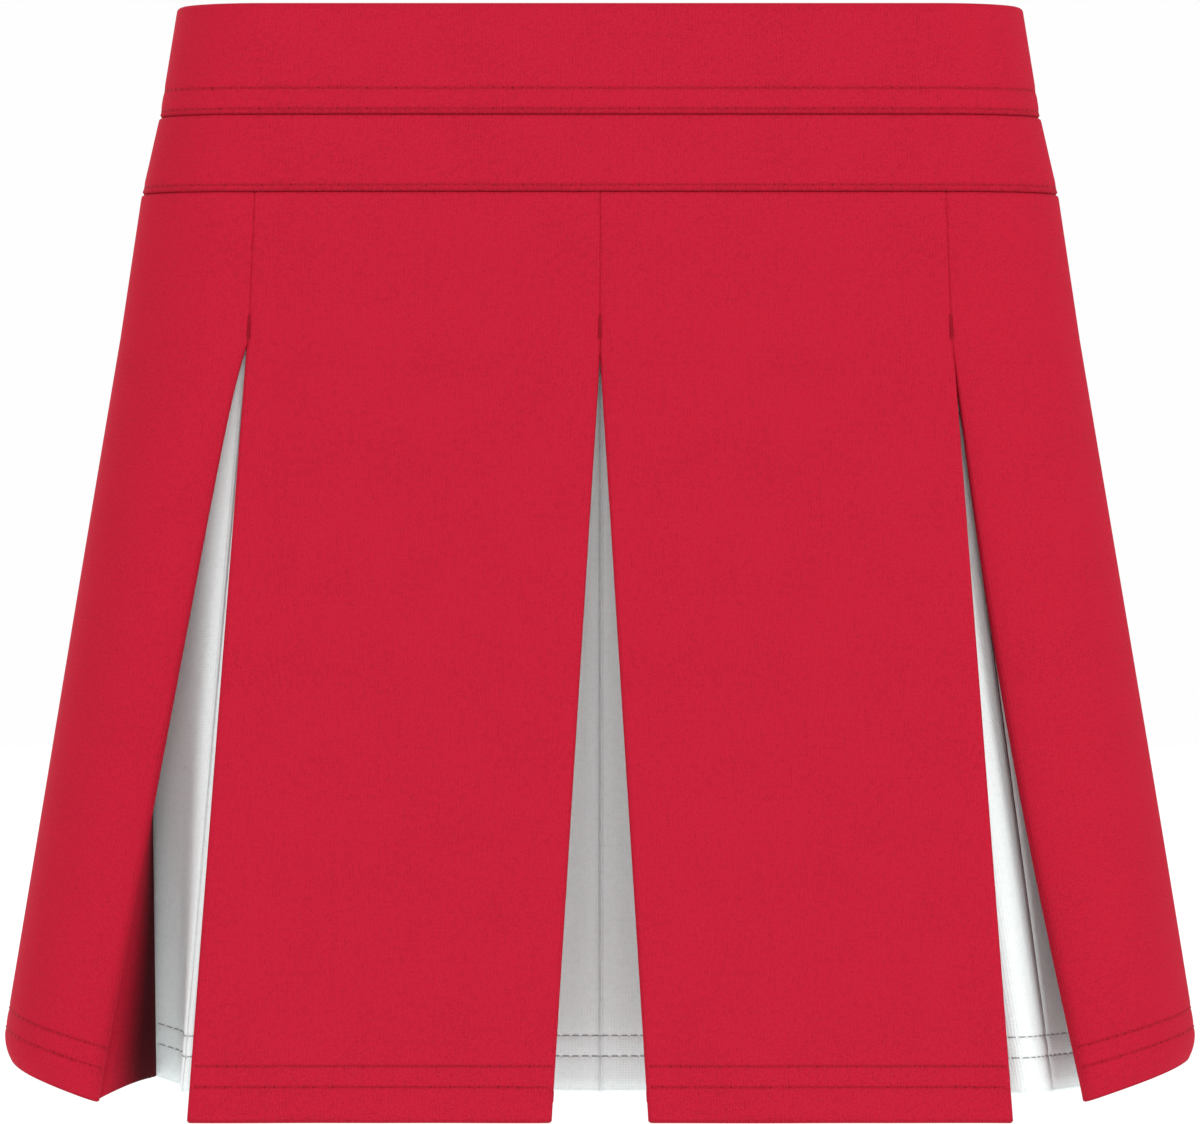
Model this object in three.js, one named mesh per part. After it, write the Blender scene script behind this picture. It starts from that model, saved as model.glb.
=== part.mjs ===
// A girls' pleated cheer skirt: an elastic waistband, a yoke, six red panels with inverted pleats
// between them, and a white underlay (godet) behind each pleat. Millimetres, +Z up. The front faces
// -Y and +X is to the viewer's right. The origin is the centre of the waist opening at its top edge.
import * as THREE from "three";

// Cloth
const CLOTH = 1.2; // thickness of the double knit
const LAYER_GAP = 0.4; // air between two layers that lie on each other
const THREAD = 0.35; // thickness of a row of stitches
const THREAD_GAP = 0.3; // air between a row of stitches and its cloth

// Heights, measured down from the top edge of the waistband
const BAND_DEPTH = 34;
const YOKE_DEPTH = 58; // lower edge of the yoke
const TUCK = 7; // how far a piece runs up behind the one that is laid over it
const RELEASE_DEPTH = 104; // where the stitching of the pleats ends and the panels hang free
const RELEASE_GAP = 0.3; // between the stitched and the free part of a panel
const HEM_DEPTH = 345; // front and back panels
const SIDE_HEM_RISE = 5; // how much higher the hem of a side panel is at its folds
const ROUND_HEM_RISE = 11; // and how much higher again at its outermost point
const RETURN_HEM_RISE = 5; // how much higher the hem of a pleat return is at its seam
const GODET_HEM_RISE = 8; // how much shorter an underlay is than the front panels

// Half width of the waist, and how much further out the sides are lower down, on the outer side of
// the piece named
const WAIST_HALF_WIDTH = 132;
const BAND_FLARE = 5.5; // lower edge of the waistband
const YOKE_FLARE = 11; // lower edge of the yoke
const RELEASE_FLARE = 18; // side panels at the release points
const HEM_FLARE = 54;

// Half depths of the body from front to back, on the outer side of the piece named
const WAIST_HALF_DEPTH = 27.5;
const YOKE_HALF_DEPTH = 29.4; // lower edge of the yoke
const RELEASE_HALF_DEPTH = 31; // panels at the release points
const HEM_FLAT_HALF_DEPTH = 55; // front and back panels
const HEM_FOLD_HALF_DEPTH = 36; // folds of the side panels

// Lengths of the rounded ends of the body, from the fold of a side panel to its outermost point
const YOKE_END = 36;
const RELEASE_END = 41.2;
const HEM_END = 36;

// Pleats
const CENTRE_PLEAT_OPENING = 30.4; // between the two folds of a centre pleat at the hem
const SIDE_PLEAT_OPENING = 23.5; // the same, sideways, for the four other pleats
const RETURN_WIDTH = 35; // cloth folded under at each edge of a panel
const RETURN_RECESS = 28; // how far back that cloth reaches at the hem
const UNDERLAP = 1; // how far an underlay passes the edge of a return on each side
const GODET_HEM_GAP = 1.2; // behind the returns at the hem
const EDGE_GAP = 0.4; // between the folds of a closed pleat, and between the edges of a side seam

// Elastic and stitching
const ELASTIC = 1.5; // thickness
const ELASTIC_TOP = 2; // depth of its upper edge
const ELASTIC_WIDTH = 24;
const NEEDLE_GAUGE = 6.4; // between the two rows of a twin needle
const STITCH_HEIGHT = 0.6;
const BAND_ROW_RISE = 1.2; // lower row above the edge of the waistband
const YOKE_ROW_RISE = 1.5; // row above the edge of the yoke
const HEM_ROW_RISE = 10.4; // lower row above a hem
const BAR_TACK_WIDTH = 1.8;
const BAR_TACK_LENGTH = 7;

// How finely bent cloth is divided
const END_STEPS = 20; // round one end of the body
const RETURN_STEPS = 6; // across a return, and across half an underlay
const FLAT_STEPS = 2; // across a flat panel
const DROP_STEPS = 6; // from the release points down to the hem

// Layers, as distances inwards from the outer side of the waistband
const YOKE_INSET = CLOTH + LAYER_GAP;
const PANEL_INSET = YOKE_INSET + CLOTH + LAYER_GAP;
const RETURN_BACK = 2 * CLOTH + LAYER_GAP; // from the outer side of a panel to the back of its return
const GODET_INSET = PANEL_INSET + RETURN_BACK + LAYER_GAP;
const BAND_THICKNESS = 2 * CLOTH + 2 * LAYER_GAP + ELASTIC;

const ELASTIC_BOTTOM = ELASTIC_TOP + ELASTIC_WIDTH;

// Widths of each of the six panels
const YOKE_PANEL_WIDTH = WAIST_HALF_WIDTH + YOKE_FLARE - YOKE_END;
const RELEASE_PANEL_WIDTH = WAIST_HALF_WIDTH + RELEASE_FLARE - RELEASE_END;
const HEM_FOLD = WAIST_HALF_WIDTH + HEM_FLARE - HEM_END; // centre line to the fold of a side panel

// reach counts panel widths round either side of the body, from 0 at the centre front to 3 at the
// centre back. side is 1 on the right and -1 on the left. The panels run anticlockwise from above.
const PANELS = [
  { name: "front_right", side: 1, from: 0, to: 1, round: false },
  { name: "right_side", side: 1, from: 1, to: 2, round: true },
  { name: "back_right", side: 1, from: 2, to: 3, round: false },
  { name: "back_left", side: -1, from: 3, to: 2, round: false },
  { name: "left_side", side: -1, from: 2, to: 1, round: true },
  { name: "front_left", side: -1, from: 1, to: 0, round: false },
];

// Each pleat lies at the end of the panel with the same index.
const PLEATS = ["front_right", "back_right", "back_centre", "back_left", "front_left", "front_centre"];

const { lerp } = THREE.MathUtils;

// Even steps from one value to another, both ends included.
const steps = (from, to, count) =>
  Array.from({ length: count + 1 }, (_, index) => lerp(from, to, index / count));

const matt = (name, color, roughness) =>
  new THREE.MeshStandardMaterial({ name, color, roughness, metalness: 0 });
const redKnit = () => matt("red_knit", "#c82339", 0.85);
const whiteKnit = () => matt("white_knit", "#ececea", 0.85);
const redThread = () => matt("red_thread", "#a81c30", 0.65);
const greyThread = () => matt("grey_thread", "#a6a6a8", 0.65);
const elasticWeb = () => matt("elastic", "#f1f0ec", 0.75);

// An outline of the body seen from above: flat front and back with elliptical ends. The flats run
// from flatStart to flatEnd, measured from the centre line, and the ends begin at roundStart.
function closedOutline({ depth, halfWidth, halfDepth, pleat }) {
  const halfDepths = { flatHalfDepth: halfDepth, roundHalfDepth: halfDepth };
  return { depth, halfWidth, ...halfDepths, flatStart: 0, flatEnd: pleat, roundStart: pleat };
}

// Down to the release points the pleats are shut, and the outline widens evenly between these.
const CLOSED_OUTLINES = [
  {
    depth: 0,
    halfWidth: WAIST_HALF_WIDTH,
    halfDepth: WAIST_HALF_DEPTH,
    pleat: WAIST_HALF_WIDTH - WAIST_HALF_DEPTH,
  },
  {
    depth: BAND_DEPTH,
    halfWidth: WAIST_HALF_WIDTH + BAND_FLARE,
    halfDepth: WAIST_HALF_DEPTH,
    pleat: (WAIST_HALF_WIDTH - WAIST_HALF_DEPTH + YOKE_PANEL_WIDTH) / 2,
  },
  {
    depth: YOKE_DEPTH,
    halfWidth: WAIST_HALF_WIDTH + YOKE_FLARE + YOKE_INSET,
    halfDepth: YOKE_HALF_DEPTH + YOKE_INSET,
    pleat: YOKE_PANEL_WIDTH,
  },
  {
    depth: RELEASE_DEPTH,
    halfWidth: WAIST_HALF_WIDTH + RELEASE_FLARE + PANEL_INSET,
    halfDepth: RELEASE_HALF_DEPTH + PANEL_INSET,
    pleat: RELEASE_PANEL_WIDTH,
  },
].map(closedOutline);

// At the hem the pleats stand open. This outline is the outer side of the panels.
const HEM_OUTLINE = {
  halfWidth: WAIST_HALF_WIDTH + HEM_FLARE,
  flatHalfDepth: HEM_FLAT_HALF_DEPTH,
  roundHalfDepth: HEM_FOLD_HALF_DEPTH,
  flatStart: CENTRE_PLEAT_OPENING / 2,
  flatEnd: HEM_FOLD - SIDE_PLEAT_OPENING,
  roundStart: HEM_FOLD,
};

function closedOutlineAt(depth) {
  const next = CLOSED_OUTLINES.findIndex((outline, index) => index > 0 && outline.depth >= depth);
  const [upper, lower] = [CLOSED_OUTLINES[next - 1], CLOSED_OUTLINES[next]];
  const share = (depth - upper.depth) / (lower.depth - upper.depth);
  const between = Object.keys(upper).map((key) => [key, lerp(upper[key], lower[key], share)]);
  return Object.fromEntries(between);
}

function outlinePoint(outline, { side, reach, round }, inset) {
  if (round) {
    const angle = (reach - 1.5) * Math.PI;
    const roundHalfWidth = outline.halfWidth - outline.roundStart - inset;
    const x = outline.roundStart + roundHalfWidth * Math.cos(angle);
    return new THREE.Vector2(side * x, (outline.roundHalfDepth - inset) * Math.sin(angle));
  }
  const isFront = reach <= 1;
  const x = lerp(outline.flatStart, outline.flatEnd, isFront ? reach : 3 - reach);
  return new THREE.Vector2(side * x, (outline.flatHalfDepth - inset) * (isFront ? -1 : 1));
}

const closedPoint = (depth, place, inset) => outlinePoint(closedOutlineAt(depth), place, inset);

// Shifts a path to its left by a distance, keeping that distance on both sides of each corner.
function shiftPath(path, distance) {
  const last = path.length - 1;
  const leftOf = (start) => {
    const along = path[start + 1].clone().sub(path[start]).normalize();
    return new THREE.Vector2(-along.y, along.x);
  };
  return path.map((point, index) => {
    const before = leftOf(Math.max(index - 1, 0));
    const after = leftOf(Math.min(index, last - 1));
    const corner = before.clone().add(after).divideScalar(1 + before.dot(after));
    return point.clone().addScaledVector(corner, distance);
  });
}

// A closed solid of bent cloth, made of columns by rows cells. pointAt(column, row, isInner) places
// the corners of the cells: row 0 is the first edge, and the inner side faces away from the viewer.
function bentSheet(name, material, columns, rows, pointAt) {
  const geometry = new THREE.BoxGeometry(columns, rows, 1, columns, rows, 1);
  const corners = geometry.getAttribute("position");
  for (let index = 0; index < corners.count; index += 1) {
    const column = Math.round(corners.getX(index) + columns / 2);
    const row = Math.round(rows / 2 - corners.getY(index));
    const point = pointAt(column, row, corners.getZ(index) < 0);
    corners.setXYZ(index, point.x, point.y, point.z);
  }
  geometry.computeVertexNormals();
  const mesh = new THREE.Mesh(geometry, material);
  mesh.name = name;
  return mesh;
}

// Cloth that hangs from level to level. pathAt(level) is its outer side seen from above, and
// depthAt(level, column) its depth at a column of that path.
function hungCloth(name, material, levels, thickness, pathAt, depthAt) {
  const outer = levels.map(pathAt);
  const inner = outer.map((path) => shiftPath(path, thickness));
  return bentSheet(name, material, outer[0].length - 1, levels.length - 1, (column, row, isInner) => {
    const point = (isInner ? inner : outer)[row][column];
    return new THREE.Vector3(point.x, point.y, -depthAt(levels[row], column));
  });
}

// A place on the closed body. turn counts panel widths anticlockwise from the centre front, where it
// is 0, and may be negative.
function placeAt(turn) {
  const wrapped = turn > 3 ? turn - 6 : turn;
  const reach = Math.abs(wrapped);
  return { side: Math.sign(wrapped), reach, round: reach > 1 && reach < 2 };
}

// Turns between two others, close together only where the body is round.
function turnsBetween(from, to) {
  const bends = [from];
  for (let turn = Math.floor(from) + 1; turn < to; turn += 1) bends.push(turn);
  const stretches = bends.map((start, index) => {
    const end = bends[index + 1] ?? to;
    const isRound = placeAt((start + end) / 2).round;
    return steps(start, end, isRound ? Math.ceil((end - start) * END_STEPS) : 1).slice(0, -1);
  });
  return [...stretches.flat(), to];
}

// Cloth or thread that follows the closed body between two turns. Its section is a list of rows, each
// with an outer and an inner corner, and a corner is an inset and a depth.
function ringSheet(name, material, [from, to], section) {
  const turns = turnsBetween(from, to);
  return bentSheet(name, material, turns.length - 1, section.length - 1, (column, row, isInner) => {
    const [inset, depth] = isInner ? section[row].inner : section[row].outer;
    const point = closedPoint(depth, placeAt(turns[column]), inset);
    return new THREE.Vector3(point.x, point.y, -depth);
  });
}

// The section of a flat strip that follows the body at one inset through the given depths.
const stripSection = (inset, thickness, depths) =>
  depths.map((depth) => ({ outer: [inset, depth], inner: [inset + thickness, depth] }));

const stitchDepths = (depth) => [depth - STITCH_HEIGHT / 2, depth + STITCH_HEIGHT / 2];

const stitchSection = (clothInset, depths) =>
  stripSection(clothInset - THREAD_GAP - THREAD, THREAD, depths);

const SEAM_TURN = EDGE_GAP / 2 / YOKE_PANEL_WIDTH;
const HALVES = {
  front: [-1.5 + SEAM_TURN, 1.5 - SEAM_TURN],
  back: [1.5 + SEAM_TURN, 4.5 - SEAM_TURN],
};
const FULL_TURN = [-3 + SEAM_TURN, 3 - SEAM_TURN];

// The waistband cloth starts at its inner lower edge, runs up, folds over the elastic and comes down
// outside. Its outer side is divided at the lower edge of the elastic, so that the face above it,
// which a clip holds, has no stitching on it.
function waistband(half) {
  const section = [
    { outer: [BAND_THICKNESS, BAND_DEPTH], inner: [BAND_THICKNESS - CLOTH, BAND_DEPTH] },
    { outer: [BAND_THICKNESS, 0], inner: [BAND_THICKNESS - CLOTH, CLOTH] },
    { outer: [0, 0], inner: [CLOTH, CLOTH] },
    { outer: [0, ELASTIC_BOTTOM], inner: [CLOTH, ELASTIC_BOTTOM] },
    { outer: [0, BAND_DEPTH], inner: [CLOTH, BAND_DEPTH] },
  ];
  return ringSheet(`waistband_${half}`, redKnit(), HALVES[half], section);
}

function waistElastic() {
  const section = stripSection(CLOTH + LAYER_GAP, ELASTIC, [ELASTIC_TOP, ELASTIC_BOTTOM]);
  return ringSheet("waist_elastic", elasticWeb(), FULL_TURN, section);
}

function yoke(half) {
  const section = stripSection(YOKE_INSET, CLOTH, [BAND_DEPTH - TUCK, BAND_DEPTH, YOKE_DEPTH]);
  return ringSheet(`yoke_${half}`, redKnit(), HALVES[half], section);
}

function waistStitching() {
  const lowerRow = BAND_DEPTH - BAND_ROW_RISE;
  const row = (name, clothInset, depth) =>
    ringSheet(name, redThread(), FULL_TURN, stitchSection(clothInset, stitchDepths(depth)));
  return [
    row("waistband_upper_stitching", 0, lowerRow - NEEDLE_GAUGE),
    row("waistband_lower_stitching", 0, lowerRow),
    row("yoke_stitching", YOKE_INSET, YOKE_DEPTH - YOKE_ROW_RISE),
  ];
}

// The stations of a pleat return, from its fold to its seam. A station knows its place and inset on
// the closed body, and its point and depth at the hem.
function returnStations(panel, fold, foldHemDepth) {
  const inward = Math.sign((panel.from + panel.to) / 2 - fold);
  const place = (reach) => ({ side: panel.side, reach, round: panel.round });
  const foldHem = outlinePoint(HEM_OUTLINE, place(fold), RETURN_BACK);
  const middleHem = outlinePoint(HEM_OUTLINE, place((panel.from + panel.to) / 2), 0);
  const underFace = Math.sqrt(RETURN_WIDTH ** 2 - RETURN_RECESS ** 2);
  const seamHem = new THREE.Vector2(
    foldHem.x + underFace * Math.sign(middleHem.x - foldHem.x),
    foldHem.y - RETURN_RECESS * Math.sign(foldHem.y),
  );
  const nearest = EDGE_GAP / 2 / YOKE_PANEL_WIDTH;
  const furthest = RETURN_WIDTH / RELEASE_PANEL_WIDTH;
  return steps(0, 1, RETURN_STEPS).map((share) => ({
    place: place(fold + inward * lerp(nearest, furthest, share)),
    inset: PANEL_INSET + RETURN_BACK,
    hem: foldHem.clone().lerp(seamHem, share),
    hemDepth: foldHemDepth - RETURN_HEM_RISE * share,
  }));
}

// The stations of the visible face of a panel, from fold to fold.
function faceStations(panel, foldHemDepth) {
  const edge = (EDGE_GAP / 2 / YOKE_PANEL_WIDTH) * Math.sign(panel.to - panel.from);
  return steps(panel.from + edge, panel.to - edge, panel.round ? END_STEPS : FLAT_STEPS).map((reach) => {
    const place = { side: panel.side, reach, round: panel.round };
    const rise = panel.round ? ROUND_HEM_RISE * Math.cos((reach - 1.5) * Math.PI) : 0;
    const hem = outlinePoint(HEM_OUTLINE, place, 0);
    return { place, inset: PANEL_INSET, hem, hemDepth: foldHemDepth - rise };
  });
}

function panelStations(panel) {
  const foldHemDepth = HEM_DEPTH - (panel.round ? SIDE_HEM_RISE : 0);
  return {
    firstReturn: returnStations(panel, panel.from, foldHemDepth).reverse(),
    face: faceStations(panel, foldHemDepth),
    lastReturn: returnStations(panel, panel.to, foldHemDepth),
  };
}

const closedPath = (stations, depth) =>
  stations.map(({ place, inset }) => closedPoint(depth, place, inset));

// The path of a free panel or underlay at a share of its drop from the release points to the hem.
const droppedPath = (stations, share) =>
  closedPath(stations, RELEASE_DEPTH).map((point, index) => point.lerp(stations[index].hem, share));

const panelDepth = (station, share) =>
  lerp(RELEASE_DEPTH + RELEASE_GAP, station.hemDepth, share);

// The stitched part of a panel, shut at its pleats, from behind the yoke to the release points.
function panelTop(panel, stations) {
  const levels = [YOKE_DEPTH - TUCK, YOKE_DEPTH, RELEASE_DEPTH];
  const pathAt = (depth) => closedPath(stations, depth);
  return hungCloth(`${panel.name}_panel_top`, redKnit(), levels, CLOTH, pathAt, (depth) => depth);
}

// Two rows of stitches on the outer side of hanging cloth, above its hem.
function hemRows(name, material, stations, topDepth, pathAt) {
  const drop = stations[0].hemDepth - topDepth;
  const rises = { lower: HEM_ROW_RISE, upper: HEM_ROW_RISE + NEEDLE_GAUGE };
  return Object.entries(rises).map(([row, rise]) => {
    const shares = stitchDepths(drop - rise).map((depth) => depth / drop);
    const outerPath = (share) => shiftPath(pathAt(share), -THREAD_GAP - THREAD);
    const depthAt = (share, column) => lerp(topDepth, stations[column].hemDepth, share);
    return hungCloth(`${name}_hem_${row}_row`, material, shares, THREAD, outerPath, depthAt);
  });
}

// The free part of a panel, which swings from its release line, with its hem stitching.
function freePanel(panel, { firstReturn, face, lastReturn }) {
  const stations = [...firstReturn, ...face, ...lastReturn];
  const pathAt = (share) => droppedPath(stations, share);
  const depthAt = (share, column) => panelDepth(stations[column], share);
  const shares = steps(0, 1, DROP_STEPS);
  const facePath = (share) => droppedPath(face, share);
  return [
    hungCloth(`${panel.name}_panel`, redKnit(), shares, CLOTH, pathAt, depthAt),
    ...hemRows(`${panel.name}_panel`, redThread(), face, RELEASE_DEPTH + RELEASE_GAP, facePath),
  ];
}

// An underlay lies flat behind a closed pleat and, at the hem, spans straight between the seams of
// the two returns beside it.
function godetStations(before, after, firstSeam, lastSeam) {
  const hemDepth = HEM_DEPTH - GODET_HEM_RISE;
  const halfReach = (RETURN_WIDTH + UNDERLAP) / RELEASE_PANEL_WIDTH;
  const [firstHem, lastHem] = shiftPath([firstSeam, lastSeam], GODET_HEM_GAP);
  const halfStations = ({ side, round }, fromReach, toReach, fromShare, toShare) =>
    steps(0, 1, RETURN_STEPS).map((share) => ({
      place: { side, reach: lerp(fromReach, toReach, share), round },
      inset: GODET_INSET,
      hem: firstHem.clone().lerp(lastHem, lerp(fromShare, toShare, share)),
      hemDepth,
    }));
  const firstReach = before.to - halfReach * Math.sign(before.to - before.from);
  const lastReach = after.from + halfReach * Math.sign(after.to - after.from);
  return [
    ...halfStations(before, firstReach, before.to, 0, 0.5),
    ...halfStations(after, after.from, lastReach, 0.5, 1).slice(1),
  ];
}

function godet(name, stations) {
  const { hemDepth } = stations[0];
  const top = YOKE_DEPTH - TUCK;
  const levels = [top, YOKE_DEPTH, ...steps(RELEASE_DEPTH, hemDepth, DROP_STEPS)];
  const dropPath = (share) => droppedPath(stations, share);
  const pathAt = (depth) =>
    depth < RELEASE_DEPTH
      ? closedPath(stations, depth)
      : dropPath((depth - RELEASE_DEPTH) / (hemDepth - RELEASE_DEPTH));
  return [
    hungCloth(`${name}_godet`, whiteKnit(), levels, CLOTH, pathAt, (depth) => depth),
    ...hemRows(`${name}_godet`, greyThread(), stations, RELEASE_DEPTH, dropPath),
  ];
}

// A dense patch of stitches that locks the end of a pleat's stitching.
function barTack(name, pleatTurn) {
  const halfTurn = BAR_TACK_WIDTH / 2 / RELEASE_PANEL_WIDTH;
  const section = stitchSection(PANEL_INSET, [RELEASE_DEPTH - BAR_TACK_LENGTH, RELEASE_DEPTH]);
  return ringSheet(`${name}_bar_tack`, redThread(), [pleatTurn - halfTurn, pleatTurn + halfTurn], section);
}

function group(...parts) {
  const assembly = new THREE.Group();
  assembly.add(...parts.flat());
  return assembly;
}

const stationsOf = PANELS.map(panelStations);
const waist = group(
  Object.keys(HALVES).flatMap((half) => [waistband(half), yoke(half)]),
  waistElastic(),
  waistStitching(),
);
const tops = PANELS.map((panel, index) => panelTop(panel, Object.values(stationsOf[index]).flat()));
const freePanels = PANELS.map((panel, index) => group(freePanel(panel, stationsOf[index])));
const pleats = PLEATS.map((name, index) => {
  const next = (index + 1) % PANELS.length;
  const firstSeam = stationsOf[index].lastReturn.at(-1).hem;
  const lastSeam = stationsOf[next].firstReturn[0].hem;
  const stations = godetStations(PANELS[index], PANELS[next], firstSeam, lastSeam);
  return group(godet(name, stations), barTack(name, next));
});

export default group(waist, tops, freePanels, pleats);
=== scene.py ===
"""A girls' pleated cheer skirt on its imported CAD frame. Metres, +Z up, and the front faces -Y."""
import math

import bpy
import numpy as np
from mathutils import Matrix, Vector


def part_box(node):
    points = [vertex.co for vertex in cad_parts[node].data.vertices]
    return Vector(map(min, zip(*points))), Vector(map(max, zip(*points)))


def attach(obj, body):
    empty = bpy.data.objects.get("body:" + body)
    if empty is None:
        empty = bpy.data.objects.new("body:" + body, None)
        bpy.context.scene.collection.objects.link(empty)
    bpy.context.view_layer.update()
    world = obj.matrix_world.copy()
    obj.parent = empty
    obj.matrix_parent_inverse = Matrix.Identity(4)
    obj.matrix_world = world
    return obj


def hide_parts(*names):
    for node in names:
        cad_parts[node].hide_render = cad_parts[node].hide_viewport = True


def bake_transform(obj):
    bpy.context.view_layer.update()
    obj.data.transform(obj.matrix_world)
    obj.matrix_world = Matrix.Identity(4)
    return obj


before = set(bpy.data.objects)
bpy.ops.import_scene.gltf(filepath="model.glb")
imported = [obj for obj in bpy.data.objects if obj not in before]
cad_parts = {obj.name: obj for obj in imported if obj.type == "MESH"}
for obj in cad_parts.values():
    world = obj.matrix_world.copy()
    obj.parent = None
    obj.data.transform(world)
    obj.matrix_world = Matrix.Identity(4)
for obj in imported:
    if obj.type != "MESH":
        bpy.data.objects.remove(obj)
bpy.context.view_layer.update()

MM = 0.001

# Cloth, as the CAD model has it
CLOTH = 1.2 * MM
LAYER_GAP = 0.4 * MM
YOKE_INSET = CLOTH + LAYER_GAP
PANEL_INSET = 2 * YOKE_INSET
RETURN_BACK = 2 * CLOTH + LAYER_GAP  # from the outer side of a panel to the back of its return
GODET_INSET = PANEL_INSET + RETURN_BACK + LAYER_GAP
ELASTIC = 1.5 * MM
BAND_THICKNESS = 2 * CLOTH + 2 * LAYER_GAP + ELASTIC
EDGE_GAP = 0.4 * MM  # between the folds of a closed pleat, and between the edges of a side seam

# Heights, measured down from the top edge of the waistband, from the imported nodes
BAND_DEPTH = -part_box("waistband_front")[0].z
YOKE_DEPTH = -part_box("yoke_front")[0].z
YOKE_TOP = -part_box("yoke_front")[1].z
PANEL_TOP = -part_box("front_right_panel_top")[1].z
RELEASE_DEPTH = -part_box("front_right_panel_top")[0].z
HEM_DEPTH = -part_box("front_right_panel")[0].z
GODET_HEM_DEPTH = -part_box("front_centre_godet")[0].z
SIDE_HEM_DEPTH = -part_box("right_side_panel")[0].z
ROUND_HEM_RISE = 11 * MM  # hem of a side panel, from its folds to its outermost point
RETURN_HEM_RISE = 6.5 * MM  # hem of a return, from its fold to its seam
DROP = HEM_DEPTH - RELEASE_DEPTH

# The closed body seen from above at four depths, on the outer side of the layer that is there:
# depth, half width, half depth, and the distance from the centre line to the side pleats
BAND_HALF_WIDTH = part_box("waistband_front")[1].x
WAIST_HALF_WIDTH = 132 * MM
WAIST_HALF_DEPTH = -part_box("waistband_front")[0].y
YOKE_HALF_WIDTH = 143 * MM
YOKE_HALF_DEPTH = 29.4 * MM
YOKE_PLEAT = 107 * MM
RELEASE_HALF_WIDTH = 150 * MM
RELEASE_HALF_DEPTH = 31 * MM
RELEASE_PLEAT = 108.8 * MM
WAIST_PLEAT = WAIST_HALF_WIDTH - WAIST_HALF_DEPTH
CLOSED_BODY = np.array([
    (0, WAIST_HALF_WIDTH, WAIST_HALF_DEPTH, WAIST_PLEAT),
    (BAND_DEPTH, BAND_HALF_WIDTH, WAIST_HALF_DEPTH, (WAIST_PLEAT + YOKE_PLEAT) / 2),
    (YOKE_DEPTH, YOKE_HALF_WIDTH + YOKE_INSET, YOKE_HALF_DEPTH + YOKE_INSET, YOKE_PLEAT),
    (RELEASE_DEPTH, RELEASE_HALF_WIDTH + PANEL_INSET, RELEASE_HALF_DEPTH + PANEL_INSET, RELEASE_PLEAT),
])

# Front and back halves of the waistband and yoke, in panels anticlockwise from the centre front
HALF_SEAM = EDGE_GAP / 2 / YOKE_PLEAT
HALVES = {"front": (-1.5 + HALF_SEAM, 1.5 - HALF_SEAM), "back": (1.5 + HALF_SEAM, 4.5 - HALF_SEAM)}

# The open body at the hem
HEM_HALF_WIDTH = 187.8 * MM  # before the hem curls inwards
HEM_HALF_DEPTH = -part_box("front_right_panel")[0].y
HEM_FOLD_HALF_DEPTH = 36 * MM
HEM_FOLD = 150 * MM  # centre line to the folds of a side panel
CENTRE_GAP = 15.2 * MM  # centre line to the folds of the front and back panels beside it
SIDE_GAP = 23.5 * MM  # sideways between the two folds of a side pleat
RETURN_WIDTH = 35 * MM
RETURN_RECESS = 28 * MM  # how far back a return reaches at the hem
RETURN_REACH = math.sqrt(RETURN_WIDTH ** 2 - RETURN_RECESS ** 2)  # and how far sideways
# The front return of the left side panel hangs splayed inwards: its hem, from its fold to its seam
SPLAYED_RETURN = np.array([11 * MM, 1.02 * RETURN_RECESS])
GODET_HALF_WIDTH = 36 * MM
GODET_HEM_GAP = 1.2 * MM
# Soft folds that stand forward in the front side pleats: pleat, place of the crest from its middle
# (0) to its seams (-1 and 1), and height at the hem
GODET_FOLDS = (("front_left", 0.05, 15.5 * MM), ("front_right", -0.36, 20 * MM))
GODET_FOLD_WIDTH = 0.40  # from the crest, on the same scale, to where a fold is a third as high
GODET_WAVE = 0.8 * MM  # half the height of the wave in each half of a godet's hem
BACK_GODET_RISE = 4 * MM  # the hems of the back side pleats hang this much higher
SIDE_SEAM_RISE = 3.5 * MM  # and the hem of a godet rises this much towards a side panel
BACK_HEM_RISE = 2 * MM  # hem of a side panel, from its front fold to its back fold

# How the cloth lies and hangs
DENT = 2.3 * MM  # a soft upright hollow in the left of the front
DENT_FROM_PLEAT = 4 * MM  # its middle, from the side pleat towards the centre front
DENT_WIDTH = 13 * MM  # from its middle, sideways, to where it is a third as deep
DENT_DEPTH = 92 * MM  # its middle, down from the top edge of the waistband
DENT_HEIGHT = 45 * MM  # from its middle, up or down, to where it is a third as deep
LEFT_FOLD_STEP = 2.2 * MM  # the folds of the left side panel stand this much further out
LEFT_FOLD_EASE = 0.05  # from about this share of the drop on
LEFT_FOLD_FLARE = 3.3 * MM  # and this much more at the hem
RIGHT_FOLD_BOW = 3.5 * MM  # the folds of the right side panel bow in this much halfway down
ROUND_HEM_CURL = (3.2 * MM, 10 * MM)  # how far a side panel's hem curls inwards, over what height
FLAT_HEM_CURL = (0.5 * MM, 5 * MM)  # and the hem of a front or back panel
WIDE_RIPPLE = 0.9 * MM
NARROW_RIPPLE = 0.35 * MM
PRESSED_FOLD = 0.8 * MM  # radius of the folds of a pleat where it is sewn shut
ROUND_ROLL = 3.6 * MM  # radius of the folds at the hem of a side panel
FLAT_ROLL = 1.6 * MM  # and at the hem of a front or back panel
BAND_TOP = 0.9 * MM  # height of the pressed fold at the top of the waistband
FULL_RISE = 0.9 * MM  # height over which cloth comes out from under the edge sewn over it
RISE_LEVEL = CLOTH / 2 + 0.6 * FULL_RISE  # how far below that edge the mesh has a level
YOKE_FULLNESS = 1.6 * MM  # how far the cloth then stands out
PANEL_FULLNESS = 1.7 * MM

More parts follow.
